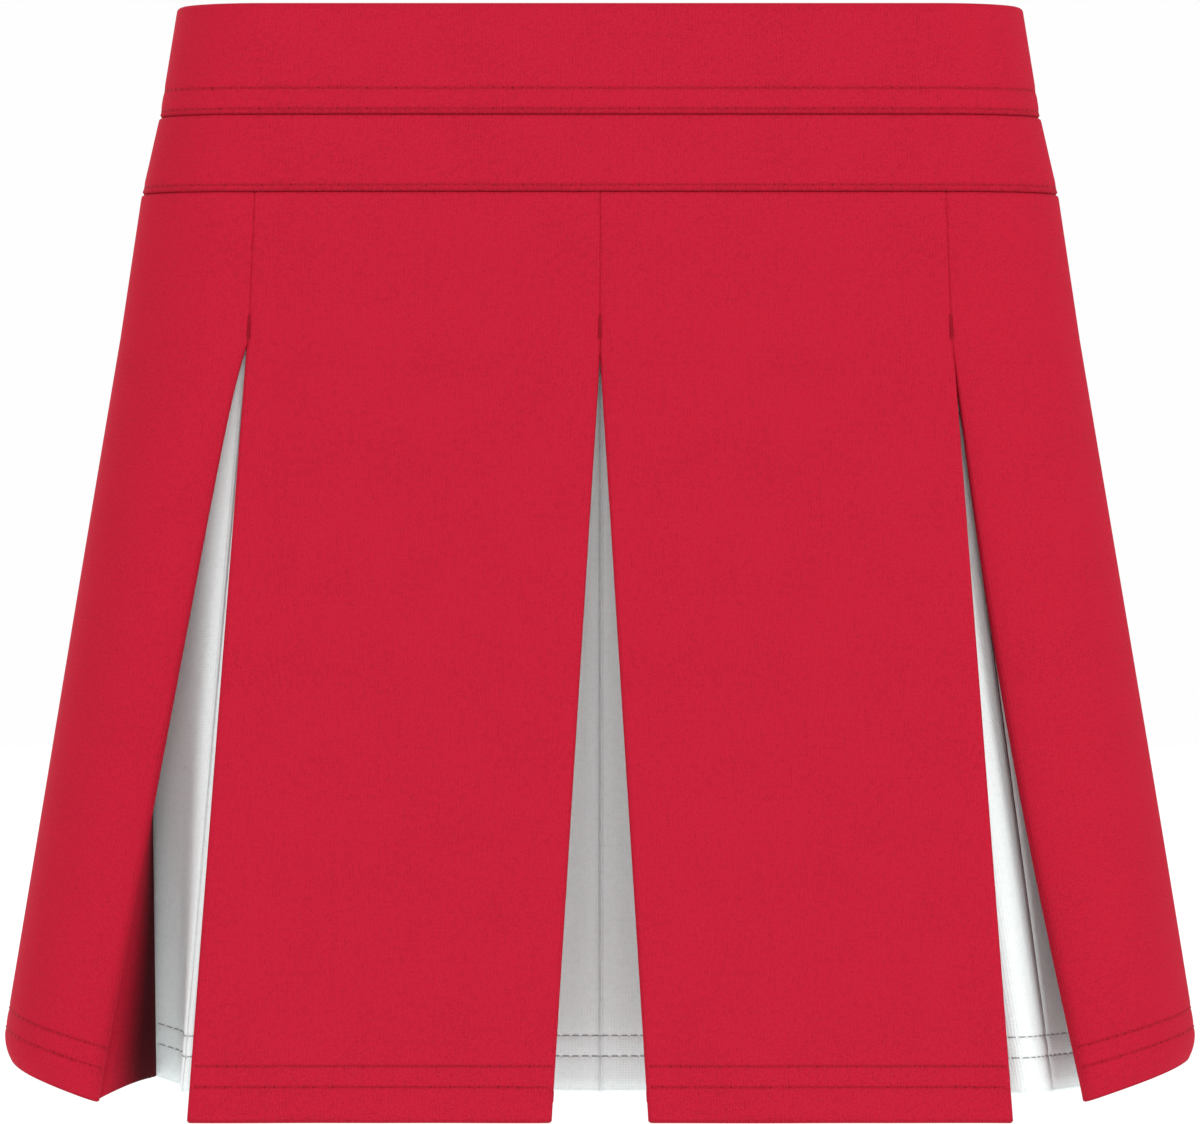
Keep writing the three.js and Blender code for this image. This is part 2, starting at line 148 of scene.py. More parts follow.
# Stitching
NEEDLE_GAUGE = 6.4 * MM
BAND_ROWS = (1.2 * MM, 1.2 * MM + NEEDLE_GAUGE)  # above the lower edge of the waistband
YOKE_ROWS = (1.5 * MM,)
HEM_ROWS = (10.4 * MM, 10.4 * MM + NEEDLE_GAUGE)  # above a hem
ROW_NAMES = ("lower", "upper")
STITCH = 3.0 * MM  # from one needle hole to the next
STITCH_SPAN = 0.86  # share of that which a thread takes
# Along a thread: place from its middle, height over the cloth, and thickness
STITCH_PROFILE = (
    (-0.5, -0.30 * MM, 0.5),
    (-0.36, 0.02 * MM, 1),
    (0, 0.13 * MM, 1.08),
    (0.36, 0.02 * MM, 1),
    (0.5, -0.30 * MM, 0.5),
)
THREAD_RADIUS = 0.17 * MM
THREAD_FLATNESS = 1.15  # width of a thread over its height
THREAD_SIDES = 6
GROOVE_DEPTH = 0.22 * MM  # how far a row of stitches pulls the cloth in
GROOVE_WIDTH = 1.1 * MM  # from the row to where it is a third of that
BAND_PUCKER = 0.10 * MM  # height of the small waves round the stitching of the waistband
BAND_PUCKER_PLACE = (4 * MM, 7 * MM)  # their middle above its lower edge, and how far they spread
YOKE_PUCKER = 0.09 * MM
YOKE_PUCKER_PLACE = (2 * MM, 5 * MM)
YOKE_PUCKER_SHIFT = 40 * MM  # sideways, so that they don't follow those of the waistband
BAR_TACK_WIDTH = 1.8 * MM
BAR_TACK_LENGTH = 7 * MM
BAR_TACK_PITCH = 0.55 * MM
BAR_TACK_LIFT = 0.15 * MM  # over the panels
BAR_TACK_STITCH = np.array([-0.3, 0.5, 1.3]) * STITCH  # puts one stitch on the line of three points

# Mesh
COLUMN = 2.4 * MM  # sideways spacing of the mesh
ROW = 4 * MM  # and its spacing down
WAIST_ROW = 3 * MM  # spacing down in the waistband and yoke
FOLD_STEPS = 6
ROW_LEVELS = np.array([-3.2, -1.9, -1.0, -0.4, 0, 0.4, 1.0, 1.9, 3.2]) * MM  # round a row of stitches
LEVEL_SPACING = 1.2 * MM  # least distance from those to the other levels
LEVEL_MARGIN = 0.3 * MM  # and to the ends of the mesh
FINE_TURNS = 900  # steps in which the way round half the body is measured

# Knit
WALE = 0.93 * MM  # from one rib of the knit to the next
COURSE = 0.8 * MM  # from one row of loops to the next
WALE_WOBBLE = 0.35 * MM
FUZZ_SCALE = 1500.0  # noise scales, per metre
YARN_SCALE = 520.0
CLOUD_SCALE = 45.0
# The octaves of a noise line up at zero, the middle of the cloth, so it is looked up elsewhere.
NOISE_SHIFT = (0.3137, 0.7193, 0)

# Colours
RED = (0.420, 0.0076, 0.0268, 1)
RED_SHADOW = (0.100, 0.0022, 0.0062, 1)
# Dark end of the returns' knit, towards which the shade painted deep in the pleats goes
PAINTED_SHADE_RED = (0.020, 0.0010, 0.0022, 1)
WHITE = (0.850, 0.935, 0.930, 1)
WHITE_SHADOW = (0.56, 0.615, 0.620, 1)
LINT = (0.5, 0.5, 0.5, 1)
RED_THREAD = (0.42, 0.008, 0.026, 1)
RED_THREAD_SHADOW = (0.24, 0.005, 0.014, 1)
GREY_THREAD = (0.45, 0.45, 0.46, 1)
GREY_THREAD_SHADOW = (0.22, 0.22, 0.23, 1)
ELASTIC_YARN = (0.80, 0.79, 0.76, 1)
ELASTIC_SHADOW = (0.42, 0.41, 0.39, 1)
ELASTIC_RIB = 1.6 * MM
PALE = (0.9, 0.9, 0.9, 1)
BRIGHT = (1, 1, 1, 1)

# Camera, floor and light
SENSOR_WIDTH = 36.0  # millimetres
CAMERA_PLACE = (0, -3.0, -0.1733)
SEEN_CLOTH = 0.025  # how far in front of the middle of the skirt the seen cloth is
FRAMED_WIDTH = 0.372  # width of the view at that cloth
FLOOR_HEIGHT = -1
FLOOR_REACH = 40
FLOOR_GLOW = 0.12
WORLD_LIGHT = 0.7
EXPOSURE = 0.5
LIGHTS = (  # name, place, size, and power in watts
    ("right", (2.1, -2.0, 0.9), 1.0, 21),
    ("left", (-2.1, -2.0, 0.9), 1.0, 13),
    ("back", (-0.9, 2.4, 0.9), 1.6, 16),
)

# from and to count panels from the centre front, 0, to the back, 3. phase is that of a panel's waves.
PANELS = [
    {"name": "front_right", "side": 1, "from": 0, "to": 1, "phase": 0.4},
    {"name": "right_side", "side": 1, "from": 1, "to": 2, "phase": 1.2},
    {"name": "back_right", "side": 1, "from": 2, "to": 3, "phase": 4.0},
    {"name": "back_left", "side": -1, "from": 3, "to": 2, "phase": 5.1},
    {"name": "left_side", "side": -1, "from": 2, "to": 1, "phase": 3.3},
    {"name": "front_left", "side": -1, "from": 1, "to": 0, "phase": 2.1},
]
# Each pleat lies at the end of the panel with the same index.
PLEATS = ["front_right", "back_right", "back_centre", "back_left", "front_left", "front_centre"]


def lerp(start, end, share):
    return start + (end - start) * share


def unit(vectors):
    return vectors / np.linalg.norm(vectors, axis=-1, keepdims=True)


def bell(distance, width):
    """1 at no distance, a third at the width, and next to nothing beyond twice the width."""
    return math.exp(-((distance / width) ** 2))


def is_round(panel):
    return {panel["from"], panel["to"]} == {1, 2}


# ---------------------------------------------------------------- outlines seen from above


def dent(beyond_pleat, depth):
    """The soft upright hollow in the left of the front."""
    sideways = bell(beyond_pleat + DENT_FROM_PLEAT, DENT_WIDTH)
    return DENT * sideways * bell(depth - DENT_DEPTH, DENT_HEIGHT)


def closed_point(depth, side, reach, inset, rounded):
    """A point of the closed body. reach counts panels from the centre front, 0, to the back, 3."""
    depths = CLOSED_BODY[:, 0]
    half_width, half_depth, pleat = (np.interp(depth, depths, CLOSED_BODY[:, k]) for k in (1, 2, 3))
    if side < 0 and reach < 1.5:
        inset = inset + dent((reach - 1) * pleat, depth)
    if rounded:
        angle = (reach - 1.5) * math.pi
        x = pleat + (half_width - pleat - inset) * math.cos(angle)
        y = (half_depth - inset) * math.sin(angle)
    else:
        front = reach <= 1.5
        x = pleat * (reach if front else 3 - reach)
        y = (half_depth - inset) * (-1 if front else 1)
    return np.array([side * x, y, -depth])


def ring_point(turn, depth, inset):
    """A point of the closed body, turn panels anticlockwise from the centre front."""
    wrapped = turn - 6 if turn > 3 else turn
    reach = abs(wrapped)
    return closed_point(depth, 1 if wrapped >= 0 else -1, reach, inset, 1 < reach < 2)


def hem_point(side, reach, inset, rounded):
    """A point of the open body at the hem, seen from above."""
    if rounded:
        angle = (reach - 1.5) * math.pi
        x = HEM_FOLD + (HEM_HALF_WIDTH - HEM_FOLD - inset) * math.cos(angle)
        return np.array([side * x, (HEM_FOLD_HALF_DEPTH - inset) * math.sin(angle)])
    front = reach <= 1.5
    x = lerp(CENTRE_GAP, HEM_FOLD - SIDE_GAP, reach if front else 3 - reach)
    return np.array([side * x, (HEM_HALF_DEPTH - inset) * (-1 if front else 1)])


# ---------------------------------------------------------------- meshes


def smooth_object(name, points, faces, flat_faces=(), uvs=None):
    """A smooth mesh object, with the faces listed in flat_faces left flat."""
    mesh = bpy.data.meshes.new(name)
    mesh.from_pydata([tuple(p) for p in points], [], faces)
    smooth = np.ones(len(faces), bool)
    smooth[list(flat_faces)] = False
    mesh.polygons.foreach_set("use_smooth", smooth)
    if uvs is not None:
        corner = np.zeros(len(mesh.loops), np.int32)
        mesh.loops.foreach_get("vertex_index", corner)
        layer = mesh.uv_layers.new(name="cloth")
        layer.data.foreach_set("uv", np.asarray(uvs, np.float32)[corner].ravel())
    mesh.validate()
    piece = bpy.data.objects.new(name, mesh)
    bpy.context.collection.objects.link(piece)
    return piece


def border(rows, columns):
    """The edge that starts at each point round a grid, clockwise, and the point's row and column."""
    top = [("top", 0, c) for c in range(columns - 1)]
    last = [("last", r, columns - 1) for r in range(rows - 1)]
    bottom = [("bottom", rows - 1, c) for c in range(columns - 1, 0, -1)]
    first = [("first", r, 0) for r in range(rows - 1, 0, -1)]
    return top + last + bottom + first


def grid_ways(middle):
    """Unit vectors down and across a grid of points, and square to it on its outer side."""
    down = unit(np.gradient(middle, axis=0))
    across = unit(np.gradient(middle, axis=1))
    return down, across, unit(np.cross(down, across))


def cloth(name, middle, uv, square=(), normal=None):
    """Closed cloth round a grid of points on its middle surface, with rounded edges, apart from the
    edges named in square, which meet another piece. Returns the object, its outer side and normals."""
    rows, columns = middle.shape[:2]
    down, across, own_normal = grid_ways(middle)
    normal = own_normal if normal is None else normal
    ways = {"top": -down, "bottom": down, "last": across, "first": -across}
    edges = border(rows, columns)
    rim, rim_uv = [], []
    for index, (edge, r, c) in enumerate(edges):
        rounded = {edge, edges[index - 1][0]} - set(square)
        away = sum((ways[side][r, c] for side in sorted(rounded)), np.zeros(3))
        if rounded:
            away = unit(away)
        rim.append(middle[r, c] + away * CLOTH / 2)
        rim_uv.append(uv[r, c])
    outer = middle + normal * CLOTH / 2
    inner = middle - normal * CLOTH / 2
    points = np.concatenate([outer.reshape(-1, 3), inner.reshape(-1, 3), np.array(rim)])
    uvs = np.concatenate([uv.reshape(-1, 2), uv.reshape(-1, 2), np.array(rim_uv)])
    back = rows * columns
    start = 2 * back
    faces = []
    for r in range(rows - 1):
        for c in range(columns - 1):
            a, b = r * columns + c, (r + 1) * columns + c
            faces.append((a, b, b + 1, a + 1))
            faces.append((back + a, back + a + 1, back + b + 1, back + b))
    flat = []
    for index, (edge, r, c) in enumerate(edges):
        following = (index + 1) % len(edges)
        _, next_r, next_c = edges[following]
        here, there = r * columns + c, next_r * columns + next_c
        if edge in square:
            flat += [len(faces), len(faces) + 1]
        faces.append((here, there, start + following, start + index))
        faces.append((start + index, start + following, back + there, back + here))
    return smooth_object(name, points, faces, flat, uvs), outer, normal


def sampled(places, along, vectors):
    """The vectors at some distances along a line."""
    return np.array([[np.interp(place, along, vectors[:, k]) for k in range(3)] for place in places])


def add_thread(points, faces, path, normals):
    """Add one thread, which follows a path on the cloth, to a mesh."""
    way = unit(path[-1] - path[0])
    base = len(points)
    for (_, height, thickness), centre, normal in zip(STITCH_PROFILE, path, normals):
        beside = unit(np.cross(normal, way))
        for corner in range(THREAD_SIDES):
            angle = 2 * math.pi * corner / THREAD_SIDES
            offset = beside * math.cos(angle) * THREAD_FLATNESS + normal * math.sin(angle)
            points.append(centre + normal * height + offset * THREAD_RADIUS * thickness)
    for ring in range(len(STITCH_PROFILE) - 1):
        for corner in range(THREAD_SIDES):
            a = base + ring * THREAD_SIDES + corner
            b = base + ring * THREAD_SIDES + (corner + 1) % THREAD_SIDES
            faces.append((a, b, b + THREAD_SIDES, a + THREAD_SIDES))
    end = base + (len(STITCH_PROFILE) - 1) * THREAD_SIDES
    faces.append(tuple(base + corner for corner in reversed(range(THREAD_SIDES))))
    faces.append(tuple(end + corner for corner in range(THREAD_SIDES)))


def stitches(name, rows):
    """Threads over the cloth between needle holes. Each row has points on the cloth, the normals
    there and the distance along the cloth, whose multiples of STITCH are the holes."""
    points, faces = [], []
    for row_points, row_normals, along in rows:
        if along[0] > along[-1]:
            row_points, row_normals, along = row_points[::-1], row_normals[::-1], along[::-1]
        first = math.ceil(along[0] / STITCH - 0.01)
        last = math.floor(along[-1] / STITCH + 0.01)
        for hole in range(first, last):
            middle = hole + 0.5
            places = [(middle + offset * STITCH_SPAN) * STITCH for offset, _, _ in STITCH_PROFILE]
            path = sampled(places, along, row_points)
            add_thread(points, faces, path, unit(sampled(places, along, row_normals)))
    return smooth_object(name, points, faces)


def spaced(start, end, step):
    """Evenly spaced values from start to end, about a step apart."""
    return np.linspace(start, end, max(2, round(abs(end - start) / step) + 1))


def nearest(values, wanted):
    """The index of the value nearest to the wanted one."""
    return int(np.argmin(np.abs(np.asarray(values) - wanted)))


def with_rows(levels, rows):
    """Levels of a mesh, closer together round rows of stitches and at them."""
    near = [row + offset for row in rows for offset in ROW_LEVELS]
    kept = [level for level in levels if all(abs(level - value) > LEVEL_SPACING for value in near)]
    low, high = min(levels) + LEVEL_MARGIN, max(levels) - LEVEL_MARGIN
    extra = [value for value in near if low < value < high]
    ends = [level for level in (levels[0], levels[-1]) if level not in kept]
    return np.array(sorted(set(kept + extra + ends)))


def groove(distance):
    """How deep a row of stitches pulls the cloth in, at a distance from the row."""
    return GROOVE_DEPTH * bell(distance, GROOVE_WIDTH)


# ---------------------------------------------------------------- panels


def side_fold_shift(panel, share):
    """How far outwards the folds of a side panel hang, at a share of its drop."""
    if panel["name"] == "left_side":
        return LEFT_FOLD_STEP * (1 - math.exp(-share / LEFT_FOLD_EASE)) + LEFT_FOLD_FLARE * share
    if panel["name"] == "right_side":
        return -RIGHT_FOLD_BOW * math.sin(math.pi * share)
    return 0


def hem_curl(rise, rounded):
    """How far a hem curls inwards, at a distance above its edge."""
    amount, height = ROUND_HEM_CURL if rounded else FLAT_HEM_CURL
    return amount * max(0, 1 - rise / height) ** 2


def panel_hem_depth(panel, reach):
    if not is_round(panel):
        return HEM_DEPTH
    round_rise = ROUND_HEM_RISE * math.cos((reach - 1.5) * math.pi)
    return SIDE_HEM_DEPTH - round_rise - BACK_HEM_RISE * (reach - 1)


def ripple(panel, across, share):
    """Soft waves of hanging cloth, growing towards the hem."""
    phase = panel["phase"]
    wide = math.sin(2 * math.pi * (0.8 * across) + phase)
    narrow = math.sin(2 * math.pi * (2.3 * across - 0.5 * share) + 1.7 * phase)
    height = WIDE_RIPPLE * wide + NARROW_RIPPLE * narrow
    return height * share ** 1.5 * math.sin(math.pi * across) ** 0.5


def fullness(depth, edge, end, amount):
    """How far cloth stands out below the edge of the layer that is sewn over it, until a depth."""
    start = edge + CLOTH / 2
    if not start < depth < end:
        return 0
    rise = min(1, (depth - start) / FULL_RISE)
    return amount * rise * rise * (3 - 2 * rise) * (end - depth) / (end - start)


def face_point(panel, across, fall):
    """The middle surface of a panel's face. across runs 0 to 1 from its first fold to its last, and
    fall is the distance below the release points for a panel that drops DROP."""
    edge = EDGE_GAP / 2 / RELEASE_PLEAT
    forward = 1 if panel["to"] > panel["from"] else -1
    reach = lerp(panel["from"] + edge * forward, panel["to"] - edge * forward, across)
    rounded = is_round(panel)
    side = panel["side"]
    inset = PANEL_INSET + CLOTH / 2
    if fall <= 0:
        depth = RELEASE_DEPTH + fall
        inset -= fullness(depth, YOKE_DEPTH, RELEASE_DEPTH, PANEL_FULLNESS)
        return closed_point(depth, side, reach, inset, rounded)
    share = fall / DROP
    top = closed_point(RELEASE_DEPTH, side, reach, inset, rounded)
    hem = hem_point(side, reach, CLOTH / 2 + hem_curl(DROP - fall, rounded), rounded)
    x, y = lerp(top[0], hem[0], share), lerp(top[1], hem[1], share)
    if rounded:
        frontness = math.cos((reach - 1) * math.pi) ** 2
        x += side * side_fold_shift(panel, share) * frontness
    depth = lerp(RELEASE_DEPTH, panel_hem_depth(panel, reach), share)
    return np.array([x, y, -depth])


def fold_turn(fall):
    """The angle through which the cloth turns at a fold: pressed flat above the release points."""
    closed, opened = math.pi, math.pi - math.atan2(RETURN_RECESS, RETURN_REACH)
    return lerp(closed, opened, min(1, max(0, fall / (0.5 * DROP))))


def fold_radius(panel, fall):
    """A pleat is pressed sharp at the top and opens into a soft roll at the hem."""
    roll = ROUND_ROLL if is_round(panel) else FLAT_ROLL
    return lerp(PRESSED_FOLD, roll, min(1, max(0, fall / DROP)) ** 1.5)


def panel_falls():
    """The levels of a panel's mesh, as distances below its release points."""
    falls = [*spaced(PANEL_TOP - RELEASE_DEPTH, 0, ROW)[:-1], *spaced(0, DROP, ROW)]
    below_yoke = YOKE_DEPTH - RELEASE_DEPTH + RISE_LEVEL
    return with_rows(falls, [below_yoke, *(DROP - rise for rise in HEM_ROWS), DROP - 2 * MM])


def rolled_fold(end, beyond, out, radius, turn):
    """The rolled fold at an end of a face. beyond points past that end, and out to the outer side."""
    edge = end - beyond * radius
    angles = np.linspace(0, turn, FOLD_STEPS + 1)
    return [edge + radius * (beyond * math.sin(a) + out * (math.cos(a) - 1)) for a in angles]


def panel_face(panel, falls):
    """The face of a panel and its two rounded folds: points and cloth coordinates."""
    count = 2 * round((RELEASE_PLEAT / COLUMN) / 2) + 1
    shares = np.linspace(0, 1, count)
    middle = []
    for fall in falls:
        line = np.array([face_point(panel, share, fall) for share in shares])
        way = np.gradient(line, axis=0)
        way = way / np.linalg.norm(way[:, :2], axis=1, keepdims=True)
        out = np.cross(np.array([0, 0, -1.0]), way)
        share = max(0, fall / DROP)
        wave = [ripple(panel, across, share) for across in shares]
        pull = sum(groove(DROP - rise - fall) for rise in HEM_ROWS)
        line = line + out * (np.array(wave)[:, None] - pull)
        radius, turn = fold_radius(panel, fall), fold_turn(fall)
        first = rolled_fold(line[0], -way[0], out[0], radius, turn)
        last = rolled_fold(line[-1], way[-1], out[-1], radius, turn)
        middle.append([*first[::-1], *line[2:-2], *last])
    middle = np.array(middle)
    return middle, cloth_coordinates(middle, falls)


def cloth_coordinates(middle, falls):
    """Distance across from the middle column, and up from the hem."""
    steps = np.linalg.norm(np.diff(middle, axis=1), axis=2)
    across = np.concatenate([np.zeros((len(middle), 1)), np.cumsum(steps, axis=1)], axis=1)
    across -= across[:, [middle.shape[1] // 2]]
    up = np.repeat((falls[-1] - np.asarray(falls))[:, None], middle.shape[1], axis=1)
    return np.stack([across, up], axis=2)


def seam_hem(panel, fold):
    """Where a return ends at the hem, seen from above."""
    rounded = is_round(panel)
    start = hem_point(panel["side"], fold, RETURN_BACK, rounded)
    if panel["name"] == "left_side" and fold == 1:
        return start + SPLAYED_RETURN
    centre = hem_point(panel["side"], (panel["from"] + panel["to"]) / 2, 0, rounded)
    sideways = RETURN_REACH * math.copysign(1, centre[0] - start[0])
    return start + np.array([sideways, -RETURN_RECESS * math.copysign(1, start[1])])


def return_point(panel, fold, across, fall):
    """The middle surface of a return. across runs 0 to 1 from its fold to its seam."""
    rounded = is_round(panel)
    inward = math.copysign(1, (panel["from"] + panel["to"]) / 2 - fold)
    reach = fold + inward * across * RETURN_WIDTH / RELEASE_PLEAT
    inset = PANEL_INSET + RETURN_BACK - CLOTH / 2
    if fall <= 0:
        return closed_point(RELEASE_DEPTH + fall, panel["side"], reach, inset, rounded)
    share = fall / DROP
    top = closed_point(RELEASE_DEPTH, panel["side"], reach, inset, rounded)
    start = hem_point(panel["side"], fold, RETURN_BACK - CLOTH / 2, rounded)
    flat = lerp(start, seam_hem(panel, fold), across)
    x, y = lerp(top[0], flat[0], share), lerp(top[1], flat[1], share)
    rise = RETURN_HEM_RISE * (1 - (1 - across) ** 2)
    depth = lerp(RELEASE_DEPTH, panel_hem_depth(panel, fold) - rise, share)
    return np.array([x, y, -depth])


def return_grid(panel, fold, falls, fold_end):
    """A return from the end of its rounded fold to its seam. fold_end is that end on each row."""
    shares = np.linspace(0, 1, round(RETURN_WIDTH / (1.6 * COLUMN)) + 1)
    middle = []
    for fall, start in zip(falls, fold_end):
        line = np.array([return_point(panel, fold, share, fall) for share in shares])
        ease = (1 - shares) ** 2
        middle.append(line + (start - line[0]) * ease[:, None])
    middle = np.array(middle)
    if fold == panel["from"]:
        middle = middle[:, ::-1]
    return middle


# ---------------------------------------------------------------- godets


def godet_point(index, half, across, fall):
    """across runs 0 to 1 from the middle of the pleat to the seam with the return of the panel
    before it (half 0) or after it (half 1)."""
    panel = PANELS[(index + half) % 6]
    fold = panel["from"] if half else panel["to"]
    other = PANELS[(index + 1 - half) % 6]
    other_fold = other["to"] if half else other["from"]
    inward = math.copysign(1, (panel["from"] + panel["to"]) / 2 - fold)
    reach = fold + inward * across * GODET_HALF_WIDTH / RELEASE_PLEAT
    inset = GODET_INSET + CLOTH / 2
    rounded = is_round(panel)
    if fall <= 0:
        return closed_point(RELEASE_DEPTH + fall, panel["side"], reach, inset, rounded)
    drop = GODET_HEM_DEPTH - RELEASE_DEPTH
    share = fall / drop
    top = closed_point(RELEASE_DEPTH, panel["side"], reach, inset, rounded)
    seam, other_seam = seam_hem(panel, fold), seam_hem(other, other_fold)
    along = unit(seam - other_seam) * (1 if half else -1)
    inward_shift = np.array([-along[1], along[0]]) * (GODET_HEM_GAP + CLOTH / 2)
    hem = lerp((seam + other_seam) / 2, seam, across) + inward_shift
    sway = GODET_WAVE * (1 - math.cos(2 * math.pi * across)) * share ** 2
    place = across if half else -across
    for pleat, crest, height in GODET_FOLDS:
        if PLEATS[index] == pleat:
            sway -= height * bell(place - crest, GODET_FOLD_WIDTH) * (1 - place ** 4)
    hem = hem + np.array([-along[1], along[0]]) * sway
    x, y = lerp(top[0], hem[0], share), lerp(top[1], hem[1], share)
    rise = BACK_GODET_RISE if PLEATS[index] in ("back_right", "back_left") else 0
    if rounded:
        rise += SIDE_SEAM_RISE * across ** 2
    return np.array([x, y, -lerp(RELEASE_DEPTH, GODET_HEM_DEPTH - rise, share)])


def godet_falls():
    """The levels of a godet's mesh, as distances below the release points."""
    drop = GODET_HEM_DEPTH - RELEASE_DEPTH
    falls = [*spaced(PANEL_TOP - RELEASE_DEPTH, 0, ROW)[:-1], *spaced(0, drop, ROW)]
    return with_rows(falls, [drop - rise for rise in HEM_ROWS])


# ---------------------------------------------------------------- materials


class Nodes:
    """A material's node tree, with short calls for the nodes used here."""

    def __init__(self, name):
        self.material = bpy.data.materials.new(name)
        self.material.use_nodes = True
        self.tree = self.material.node_tree
        self.shader = self.tree.nodes["Principled BSDF"]

    def add(self, kind, inputs=None, **settings):
        made = self.tree.nodes.new(kind)
        for key, value in settings.items():
            setattr(made, key, value)
        for key, value in (inputs or {}).items():
            self.put(made.inputs[key], value)
        return made

    def put(self, socket, value):
        if isinstance(value, bpy.types.NodeSocket):
            self.tree.links.new(value, socket)
        else:
            socket.default_value = value

    def math(self, operation, *values):
        made = self.tree.nodes.new("ShaderNodeMath")
        made.operation = operation
        for socket, value in zip(made.inputs, values):
            self.put(socket, value)
        return made.outputs[0]

    def noise(self, vector, scale, detail=2.0, roughness=0.5):
        made = self.add("ShaderNodeTexNoise", {"Scale": scale, "Detail": detail, "Roughness": roughness})
        self.put(made.inputs["Vector"], vector)
        return made.outputs["Fac"]

    def map(self, value, low, high, to_low, to_high, smooth=False):
        made = self.add("ShaderNodeMapRange", {1: low, 2: high, 3: to_low, 4: to_high})
        made.interpolation_type = "SMOOTHSTEP" if smooth else "LINEAR"
        self.put(made.inputs["Value"], value)
        return made.outputs["Result"]


def blended(n, shadow, colour, factor):
    """A mix of two colours."""
    mix = n.add("ShaderNodeMix", data_type="RGBA")
    n.put(mix.inputs["Factor"], factor)
    n.put(mix.inputs[6], shadow)
    n.put(mix.inputs[7], colour)
    return mix.outputs[2]


def bump(n, height, strength, distance):
    made = n.add("ShaderNodeBump", {"Strength": strength, "Distance": distance})
    n.put(made.inputs["Height"], height)
    n.put(n.shader.inputs["Normal"], made.outputs[0])


def knit_weave(n, spot, across, up):
    """Height of the knit: upright ribs, with small slanted loops along them."""
    wobble = n.math("MULTIPLY", n.noise(spot, 260.0), WALE_WOBBLE)
    wale_phase = n.math("DIVIDE", n.math("ADD", across, wobble), WALE)
    half = n.math("ABSOLUTE", n.math("SUBTRACT", n.math("FRACT", wale_phase), 0.5))
    rib = n.math("SINE", n.math("MULTIPLY", n.math("SUBTRACT", 0.5, half), math.pi))
    slant = n.math("MULTIPLY", half, 0.9)
    course_phase = n.math("ADD", n.math("DIVIDE", up, COURSE), slant)
    loop = n.math("ABSOLUTE", n.math("SINE", n.math("MULTIPLY", course_phase, math.pi)))
    return n.math("ADD", n.math("MULTIPLY", rib, 0.6), n.math("MULTIPLY", loop, 0.4))


def stitched(n, rows, spot, across, up):
    """Painted shade along the grooves of the rows of stitches, and how dark the cloth is at their needle
    holes.
    """
    painted_row_shade, hole_dark = 0.0, 0.0
    for row in rows:
        off = n.math("ABSOLUTE", n.math("SUBTRACT", up, row))
        # Painted shade along the groove of the row.
        painted_row_shade = n.math("MAXIMUM", painted_row_shade, n.map(off, 0.2 * MM, 1.5 * MM, 1.0, 0.0, True))
        step = n.math("FRACT", n.math("ADD", n.math("DIVIDE", across, STITCH), 0.5))
        beside = n.math("MULTIPLY", n.math("SUBTRACT", step, 0.5), STITCH)
        far = n.math("SQRT", n.math("ADD", n.math("POWER", beside, 2.0), n.math("POWER", off, 2.0)))
        hole_dark = n.math("MAXIMUM", hole_dark, n.map(far, 0.15 * MM, 0.70 * MM, 1.0, 0.0, True))
    uneven = n.map(n.noise(spot, 190.0), 0.35, 0.65, 0.35, 1.0)
    return painted_row_shade, n.math("MULTIPLY", hole_dark, uneven)


def knit(name, colour, shadow, rows, painted_pleat_shade=None):
    """Fine double knit: ribs made of small loops, mottled yarn, and needle holes along the rows, with
    shade painted along the rows of stitches and at the lower edge of each piece.
    The last argument is the share of shade painted into the cloth deep in a pleat, growing from the fold
    of a return towards its seam."""
    n = Nodes(name)
    place = n.add("ShaderNodeUVMap", uv_map="cloth").outputs[0]
    parts = n.add("ShaderNodeSeparateXYZ", {0: place})
    across, up = parts.outputs[0], parts.outputs[1]
    spot = n.add("ShaderNodeVectorMath", {0: place, 1: NOISE_SHIFT}, operation="ADD").outputs[0]
    weave = knit_weave(n, spot, across, up)
    fuzz = n.noise(spot, FUZZ_SCALE, 3.0, 0.7)
    yarn = n.noise(spot, YARN_SCALE, 4.0, 0.7)
    cloud = n.noise(spot, CLOUD_SCALE, 3.0, 0.6)
    painted_row_shade, hole_dark = stitched(n, rows, spot, across, up)
    # Painted shade: the cloth darkens towards the lower edge of each piece.
    painted_edge_shade = n.map(up, -0.2 * MM, 1.1 * MM, 1.0, 0.0, True)
    tone = n.math("ADD", 0.84, n.math("MULTIPLY", weave, 0.20))
    for grain, amount in ((yarn, 0.75), (fuzz, 0.60), (cloud, 0.22)):
        tone = n.math("ADD", tone, n.math("MULTIPLY", n.math("SUBTRACT", grain, 0.5), amount))
    for dark, amount in ((painted_row_shade, 0.06), (hole_dark, 0.55), (painted_edge_shade, 0.25)):
        tone = n.math("SUBTRACT", tone, n.math("MULTIPLY", dark, amount))
    # Painted shade deep in a pleat: a return darkens from its fold towards its seam.
    if painted_pleat_shade is not None:
        depth = n.math("ABSOLUTE", across)
        light = n.map(depth, 1 * MM, 0.6 * RETURN_WIDTH, 1.0, 1 - painted_pleat_shade, True)
        tone = n.math("MULTIPLY", tone, light)
    dyed = blended(n, shadow, colour, tone)
    lint = n.map(n.noise(spot, FUZZ_SCALE, 4.0, 0.8), 0.45, 0.75, 0.0, 0.022)
    n.put(n.shader.inputs["Base Color"], blended(n, dyed, LINT, lint))
    n.put(n.shader.inputs["Roughness"], n.map(yarn, 0.3, 0.7, 0.78, 0.94))
    height = n.math("ADD", weave, n.math("MULTIPLY", fuzz, 0.8))
    bump(n, n.math("SUBTRACT", height, n.math("MULTIPLY", hole_dark, 2.5)), 0.7, 0.14 * MM)
    n.shader.inputs["Specular IOR Level"].default_value = 0.06
    n.shader.inputs["Sheen Weight"].default_value = 0.05
    n.shader.inputs["Sheen Roughness"].default_value = 0.45
    n.shader.inputs["Sheen Tint"].default_value = colour
    return n.material


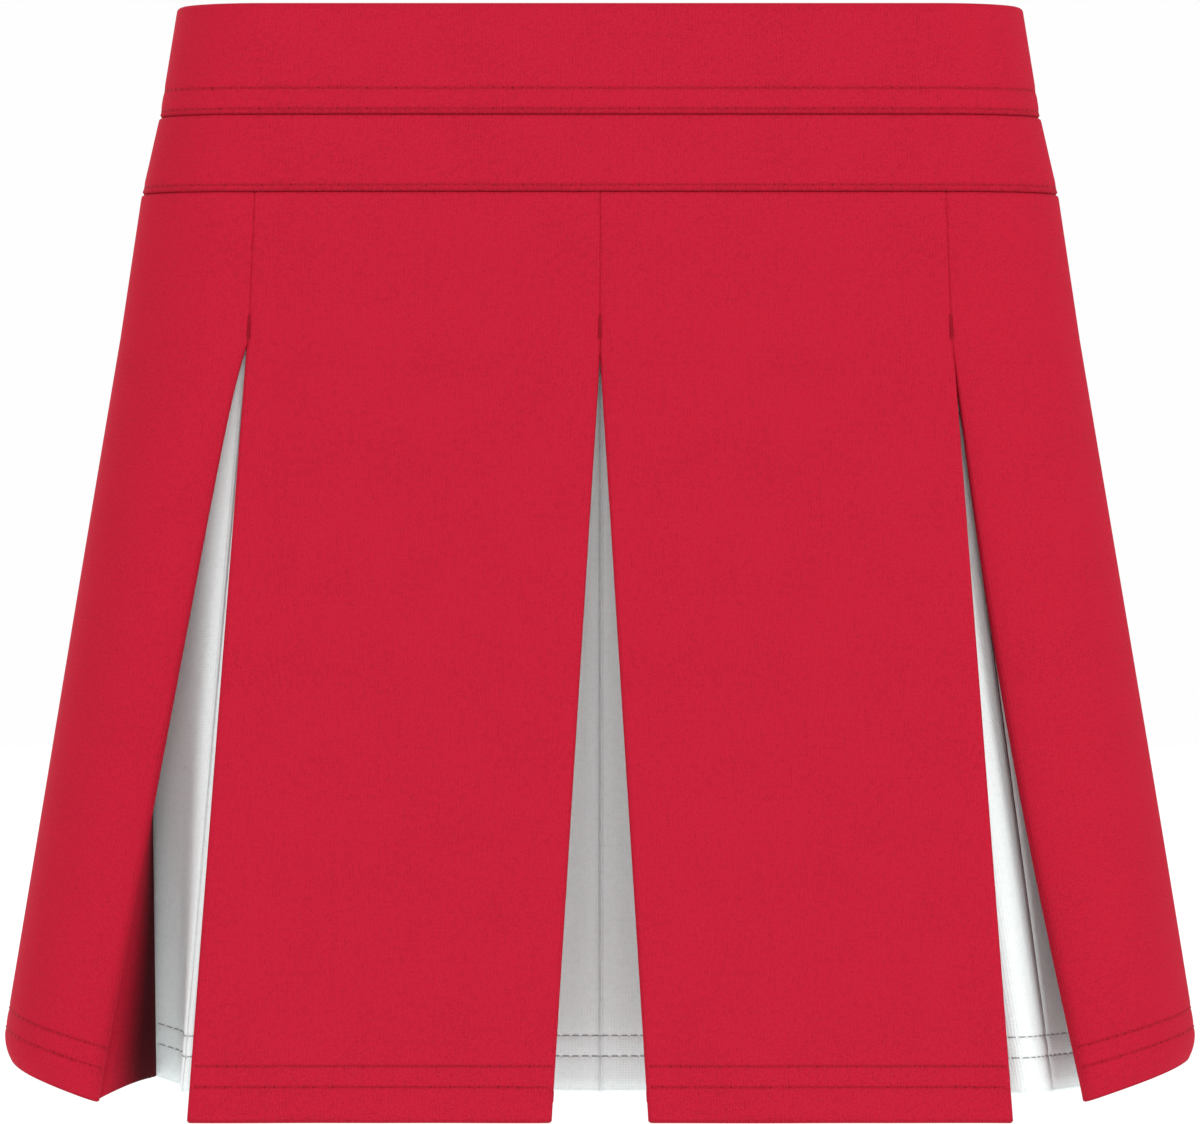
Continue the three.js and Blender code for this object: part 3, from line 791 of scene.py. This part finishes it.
def thread(name, colour, dark):
    """Twisted sewing thread."""
    n = Nodes(name)
    place = n.add("ShaderNodeTexCoord").outputs["Object"]
    wave = n.add("ShaderNodeTexWave", {"Scale": 900.0, "Distortion": 1.5}, bands_direction="DIAGONAL")
    n.put(wave.inputs["Vector"], place)
    twist = wave.outputs["Fac"]
    patch = n.noise(place, 220.0)
    tone = n.math("ADD", n.math("MULTIPLY", twist, 0.6), n.math("MULTIPLY", patch, 0.5))
    n.put(n.shader.inputs["Base Color"], blended(n, dark, colour, tone))
    n.put(n.shader.inputs["Roughness"], n.map(twist, 0.0, 1.0, 0.5, 0.7))
    bump(n, twist, 0.5, 0.05 * MM)
    n.shader.inputs["Specular IOR Level"].default_value = 0.1
    return n.material


def elastic_web():
    """Woven elastic: ribs of covered rubber with white yarn between them."""
    n = Nodes("elastic_web")
    place = n.add("ShaderNodeTexCoord").outputs["Object"]
    height = n.add("ShaderNodeSeparateXYZ", {0: place}).outputs[2]
    rib = n.math("ABSOLUTE", n.math("SINE", n.math("MULTIPLY", height, math.pi / ELASTIC_RIB)))
    yarn = n.noise(place, 900.0, 3.0)
    tone = n.math("ADD", n.math("MULTIPLY", rib, 0.6), n.math("MULTIPLY", yarn, 0.4))
    n.put(n.shader.inputs["Base Color"], blended(n, ELASTIC_SHADOW, ELASTIC_YARN, tone))
    n.put(n.shader.inputs["Roughness"], n.map(yarn, 0.0, 1.0, 0.6, 0.8))
    bump(n, tone, 0.6, 0.3 * MM)
    return n.material


# ---------------------------------------------------------------- building the pieces


def finish_piece(piece, material):
    piece.data.materials.append(material)
    return piece


def red_threads(name, rows, body, node, materials):
    """Rows of red stitches that ride on a body and stand for a CAD node."""
    threads = finish_piece(stitches(name, rows), materials["red_thread"])
    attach(threads, body)
    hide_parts(node)
    return threads


def turns_round(start, end, depth):
    """Turns between two others, evenly spaced along the body, and their distances from the middle."""
    fine = np.linspace(start, end, FINE_TURNS)
    line = np.array([ring_point(turn, depth, 0) for turn in fine])
    length = np.concatenate([[0], np.cumsum(np.linalg.norm(np.diff(line, axis=0), axis=1))])
    along = spaced(0, length[-1], COLUMN * 0.8)
    return np.interp(along, length, fine), along - length[-1] / 2


def pucker(along, strength):
    """Small uneven waves where stitching gathers the cloth."""
    wave = math.sin(along / (1.9 * MM)) + 0.7 * math.sin(along / (3.1 * MM) + 1.3)
    return strength * wave * (0.6 + 0.4 * math.sin(along / (23 * MM)))


def band_section():
    """The folded waistband cut through, from the inner lower edge over the top to the outer one:
    inset, depth, and distance along the cloth from the outer lower edge."""
    radius = (BAND_THICKNESS - CLOTH) / 2
    top = BAND_TOP + CLOTH / 2
    straight = BAND_DEPTH - top
    outer_ups = with_rows(list(spaced(0, straight, WAIST_ROW)), BAND_ROWS)[::-1]
    outer = [(CLOTH / 2, BAND_DEPTH - up, up) for up in outer_ups]
    arc = []
    for angle in np.linspace(0, math.pi, 9)[1:-1]:
        inset = BAND_THICKNESS / 2 - radius * math.cos(angle)
        arc.append((inset, top - BAND_TOP * math.sin(angle), straight + radius * angle))
    inner_start = straight + radius * math.pi
    inner = [(BAND_THICKNESS - CLOTH / 2, depth, inner_start + depth - top)
             for depth in spaced(top, BAND_DEPTH, ROW)]
    return [*inner[::-1], *arc[::-1], *outer]


def waistband(half, materials):
    """One half of the waistband, its rows for stitches, and its flat size."""
    turns, along = turns_round(*HALVES[half], BAND_DEPTH / 2)
    section = band_section()
    pucker_middle, pucker_spread = BAND_PUCKER_PLACE
    middle = []
    for inset, depth, up in section:
        strength = 0
        if inset < BAND_THICKNESS / 2:
            inset += sum(groove(up - row) for row in BAND_ROWS)
            strength = BAND_PUCKER * bell(up - pucker_middle, pucker_spread)
        line = [ring_point(turn, depth, inset + pucker(place, strength))
                for turn, place in zip(turns, along)]
        middle.append(line)
    ups = [up for _, _, up in section]
    uv = np.array([[(place, up) for place in along] for up in ups])
    piece, surface, normal = cloth(f"waistband_cloth_{half}", np.array(middle), uv)
    finish_piece(piece, materials["band"])
    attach(piece, "root")
    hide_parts(f"waistband_{half}")
    indices = [nearest(ups, row) for row in BAND_ROWS]
    rows = [(surface[index], normal[index], along) for index in indices]
    return piece, rows, (float(along[-1] - along[0]), 2 * BAND_DEPTH)


def yoke(half, materials):
    """One half of the yoke, its row for stitches, and its flat size."""
    turns, along = turns_round(*HALVES[half], YOKE_DEPTH)
    height = YOKE_DEPTH - YOKE_TOP
    below_band = YOKE_DEPTH - BAND_DEPTH - RISE_LEVEL
    ups = with_rows(list(spaced(0, height, WAIST_ROW)), [*YOKE_ROWS, below_band])[::-1]
    pucker_middle, pucker_spread = YOKE_PUCKER_PLACE
    middle = []
    for up in ups:
        depth = YOKE_DEPTH - up
        pull = sum(groove(up - row) for row in YOKE_ROWS)
        full = fullness(depth, BAND_DEPTH, YOKE_DEPTH, YOKE_FULLNESS)
        inset = YOKE_INSET + CLOTH / 2 + pull - full
        strength = YOKE_PUCKER * bell(up - pucker_middle, pucker_spread)
        line = [ring_point(turn, depth, inset + pucker(place + YOKE_PUCKER_SHIFT, strength))
                for turn, place in zip(turns, along)]
        middle.append(line)
    uv = np.array([[(place, up) for place in along] for up in ups])
    piece, surface, normal = cloth(f"yoke_cloth_{half}", np.array(middle), uv)
    finish_piece(piece, materials["yoke"])
    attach(piece, "root")
    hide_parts(f"yoke_{half}")
    index = nearest(ups, YOKE_ROWS[0])
    return piece, (surface[index], normal[index], along), (float(along[-1] - along[0]), height)


def waist(materials):
    """The waistband and yoke with their stitching."""
    bands = {half: waistband(half, materials) for half in HALVES}
    yokes = {half: yoke(half, materials) for half in HALVES}
    for half in HALVES:
        band, band_rows, band_flat = bands[half]
        for row_name, row in zip(ROW_NAMES, band_rows):
            name, node = f"waistband_{row_name}_threads_{half}", f"waistband_{row_name}_stitching"
            red_threads(name, [row], "root", node, materials)
        piece, row, yoke_flat = yokes[half]
        threads = red_threads(f"yoke_threads_{half}", [row], "root", "yoke_stitching", materials)


def panel_threads(panel, falls, surface, normals, uv, materials):
    """The rows of stitches at the hem of a panel, from the middle of one fold to that of the other."""
    name = panel["name"]
    seen = slice(FOLD_STEPS // 2, -FOLD_STEPS // 2)
    threads = []
    for row_name, rise in zip(ROW_NAMES, HEM_ROWS):
        index = nearest(falls, DROP - rise)
        row = (surface[index, seen], normals[index, seen], uv[index, seen, 0])
        node = f"{name}_panel_hem_{row_name}_row"
        thread_name = f"{name}_hem_{row_name}_threads"
        threads.append(red_threads(thread_name, [row], f"{name}_panel", node, materials))
    return threads


def panel_pieces(panel, falls, materials):
    """A panel's face with its folds, its stitching and its two returns."""
    name = panel["name"]
    middle, uv = panel_face(panel, falls)
    first = return_grid(panel, panel["from"], falls, middle[:, 0])
    last = return_grid(panel, panel["to"], falls, middle[:, -1])
    normals = grid_ways(np.concatenate([first[:, :-1], middle, last[:, 1:]], axis=1))[2]
    hidden = first.shape[1] - 1
    face_normals = normals[:, hidden:hidden + middle.shape[1]]
    face, surface, _ = cloth(f"{name}_face", middle, uv, ("first", "last"), face_normals)
    finish_piece(face, materials["panel"])
    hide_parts(f"{name}_panel_top", f"{name}_panel")
    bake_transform(face)
    threads = panel_threads(panel, falls, surface, face_normals, uv, materials)
    first_normals = normals[:, :first.shape[1]]
    last_normals = normals[:, -last.shape[1]:]
    return_pieces(panel, "first", falls, first, first_normals, materials)
    return_pieces(panel, "last", falls, last, last_normals, materials)


def return_pieces(panel, end, falls, grid, normals, materials):
    """The return at one end of a panel, in two: sewn down above the release points, free below."""
    name = panel["name"]
    seam, fold = (0, -1) if end == "first" else (-1, 0)
    joined = ("last",) if end == "first" else ("first",)
    for part, chosen in (("upper", falls <= 0), ("free", falls >= 0)):
        rows = grid[chosen]
        uv = cloth_coordinates(rows, falls[chosen])
        uv[:, :, 0] -= uv[:, [fold], 0]
        piece, _, _ = cloth(f"{name}_{end}_return_{part}", rows, uv, joined, normals[chosen])
        # The returns' material has shade painted in deep in the pleat.
        finish_piece(piece, materials["red_with_painted_shade"])
        if part == "upper":
            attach(piece, "root")
        else:
            blend_from_seam(piece)


def blend_from_seam(piece):
    """Bakes the piece's placement into its mesh."""
    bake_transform(piece)


def godet_grid(index, falls):
    """The middle surface of a godet from seam to seam, pulled in at its rows of stitches."""
    shares = np.linspace(0, 1, round(GODET_HALF_WIDTH / COLUMN) + 1)
    places = [(0, share) for share in shares[:0:-1]] + [(1, share) for share in shares]
    middle = np.array([[godet_point(index, *place, fall) for place in places] for fall in falls])
    drop = GODET_HEM_DEPTH - RELEASE_DEPTH
    pulls = np.array([sum(groove(drop - rise - fall) for rise in HEM_ROWS) for fall in falls])
    return middle - grid_ways(middle)[2] * pulls[:, None, None]


def godet_pieces(index, falls, materials):
    """A godet in two halves, each with its rows of grey stitches at the hem."""
    name = PLEATS[index]
    drop = GODET_HEM_DEPTH - RELEASE_DEPTH
    whole = godet_grid(index, falls)
    whole_normals = grid_ways(whole)[2]
    whole_uv = cloth_coordinates(whole, falls)
    centre = whole.shape[1] // 2
    for half, half_name in enumerate(("first", "last")):
        columns = slice(centre, None) if half else slice(0, centre + 1)
        middle, normals, uv = whole[:, columns], whole_normals[:, columns], whole_uv[:, columns]
        joined = ("first",) if half else ("last",)
        piece, surface, _ = cloth(f"{name}_godet_{half_name}_half", middle, uv, joined, normals)
        finish_piece(piece, materials["white"])
        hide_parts(f"{name}_godet")
        sewn = []
        for rise in HEM_ROWS:
            row = nearest(falls, drop - rise)
            sewn.append((surface[row], normals[row], uv[row, :, 0]))
        threads = stitches(f"{name}_godet_hem_threads_{half_name}_half", sewn)
        finish_piece(threads, materials["grey_thread"])
        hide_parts(f"{name}_godet_hem_lower_row", f"{name}_godet_hem_upper_row")
        for blended_piece in (piece, threads):
            blend_from_seam(blended_piece)


def bar_tack(index, materials):
    """A dense ladder of short stitches that locks the end of a pleat's stitching."""
    panel = PANELS[index]
    turn = (panel["to"] if panel["side"] > 0 else 6 - panel["to"]) % 6
    half_turn = BAR_TACK_WIDTH / 2 / RELEASE_PLEAT
    rows = []
    for depth in spaced(RELEASE_DEPTH - BAR_TACK_LENGTH, RELEASE_DEPTH, BAR_TACK_PITCH):
        turns = (turn - half_turn, turn, turn + half_turn)
        line = np.array([ring_point(place, depth, PANEL_INSET - BAR_TACK_LIFT) for place in turns])
        out = unit(line[1] - ring_point(turn, depth, PANEL_INSET + CLOTH))
        rows.append((line, np.array([out] * 3), BAR_TACK_STITCH))
    red_threads(f"{PLEATS[index]}_tack", rows, "root", f"{PLEATS[index]}_bar_tack", materials)


def waist_elastic():
    """The CAD's own loop of elastic, in woven elastic."""
    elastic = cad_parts["waist_elastic"]
    elastic.data.materials.clear()
    elastic.data.materials.append(elastic_web())


# ---------------------------------------------------------------- camera, floor and light


def camera():
    distance = -CAMERA_PLACE[1] - SEEN_CLOTH
    data = bpy.data.cameras.new("camera")
    data.sensor_width = SENSOR_WIDTH
    data.lens = SENSOR_WIDTH * distance / FRAMED_WIDTH
    data.clip_end = 100
    eye = bpy.data.objects.new("camera", data)
    eye.location = CAMERA_PLACE
    eye.rotation_euler = (math.pi / 2, 0, 0)
    bpy.context.collection.objects.link(eye)
    bpy.context.scene.camera = eye


def floor():
    ends = ((-1, -1), (1, -1), (1, 1), (-1, 1))
    corners = [(x * FLOOR_REACH, y * FLOOR_REACH, FLOOR_HEIGHT) for x, y in ends]
    plane = smooth_object("floor", corners, [(0, 1, 2, 3)])
    n = Nodes("pale_floor")
    place = n.add("ShaderNodeTexCoord").outputs["Object"]
    n.put(n.shader.inputs["Roughness"], n.map(n.noise(place, 3.0), 0.0, 1.0, 0.85, 0.95))
    n.shader.inputs["Base Color"].default_value = PALE
    n.shader.inputs["Emission Color"].default_value = BRIGHT
    n.shader.inputs["Emission Strength"].default_value = FLOOR_GLOW
    plane.data.materials.append(n.material)


def area_light(name, place, size, power):
    """A square light that faces the middle of the skirt."""
    light = bpy.data.lights.new(name, "AREA")
    light.size = size
    light.energy = power
    lamp = bpy.data.objects.new(name, light)
    lamp.location = place
    way = Vector((0, 0, -HEM_DEPTH / 2)) - Vector(place)
    lamp.rotation_euler = way.to_track_quat("-Z", "Y").to_euler()
    bpy.context.collection.objects.link(lamp)


def studio():
    world = bpy.data.worlds.new("studio")
    world.use_nodes = True
    background = world.node_tree.nodes["Background"]
    background.inputs["Color"].default_value = BRIGHT
    background.inputs["Strength"].default_value = WORLD_LIGHT
    bpy.context.scene.world = world
    for light in LIGHTS:
        area_light(*light)
    view = bpy.context.scene.view_settings
    view.view_transform = "Standard"
    view.look = "None"
    view.exposure = EXPOSURE


camera()
floor()
studio()
MATERIALS = {
    "band": knit("red_knit_waistband", RED, RED_SHADOW, BAND_ROWS),
    "yoke": knit("red_knit_yoke", RED, RED_SHADOW, YOKE_ROWS),
    "panel": knit("red_knit_panels", RED, RED_SHADOW, HEM_ROWS),
    # The returns' knit has shade painted in deep in the pleats.
    "red_with_painted_shade": knit("red_knit_returns_painted_shade", RED, PAINTED_SHADE_RED, (), painted_pleat_shade=0.92),
    "white": knit("white_knit_godets", WHITE, WHITE_SHADOW, HEM_ROWS),
    "red_thread": thread("red_sewing_thread", RED_THREAD, RED_THREAD_SHADOW),
    "grey_thread": thread("grey_sewing_thread", GREY_THREAD, GREY_THREAD_SHADOW),
}
waist(MATERIALS)
for panel in PANELS:
    panel_pieces(panel, panel_falls(), MATERIALS)
for index in range(len(PLEATS)):
    godet_pieces(index, godet_falls(), MATERIALS)
    bar_tack(index, MATERIALS)
waist_elastic()
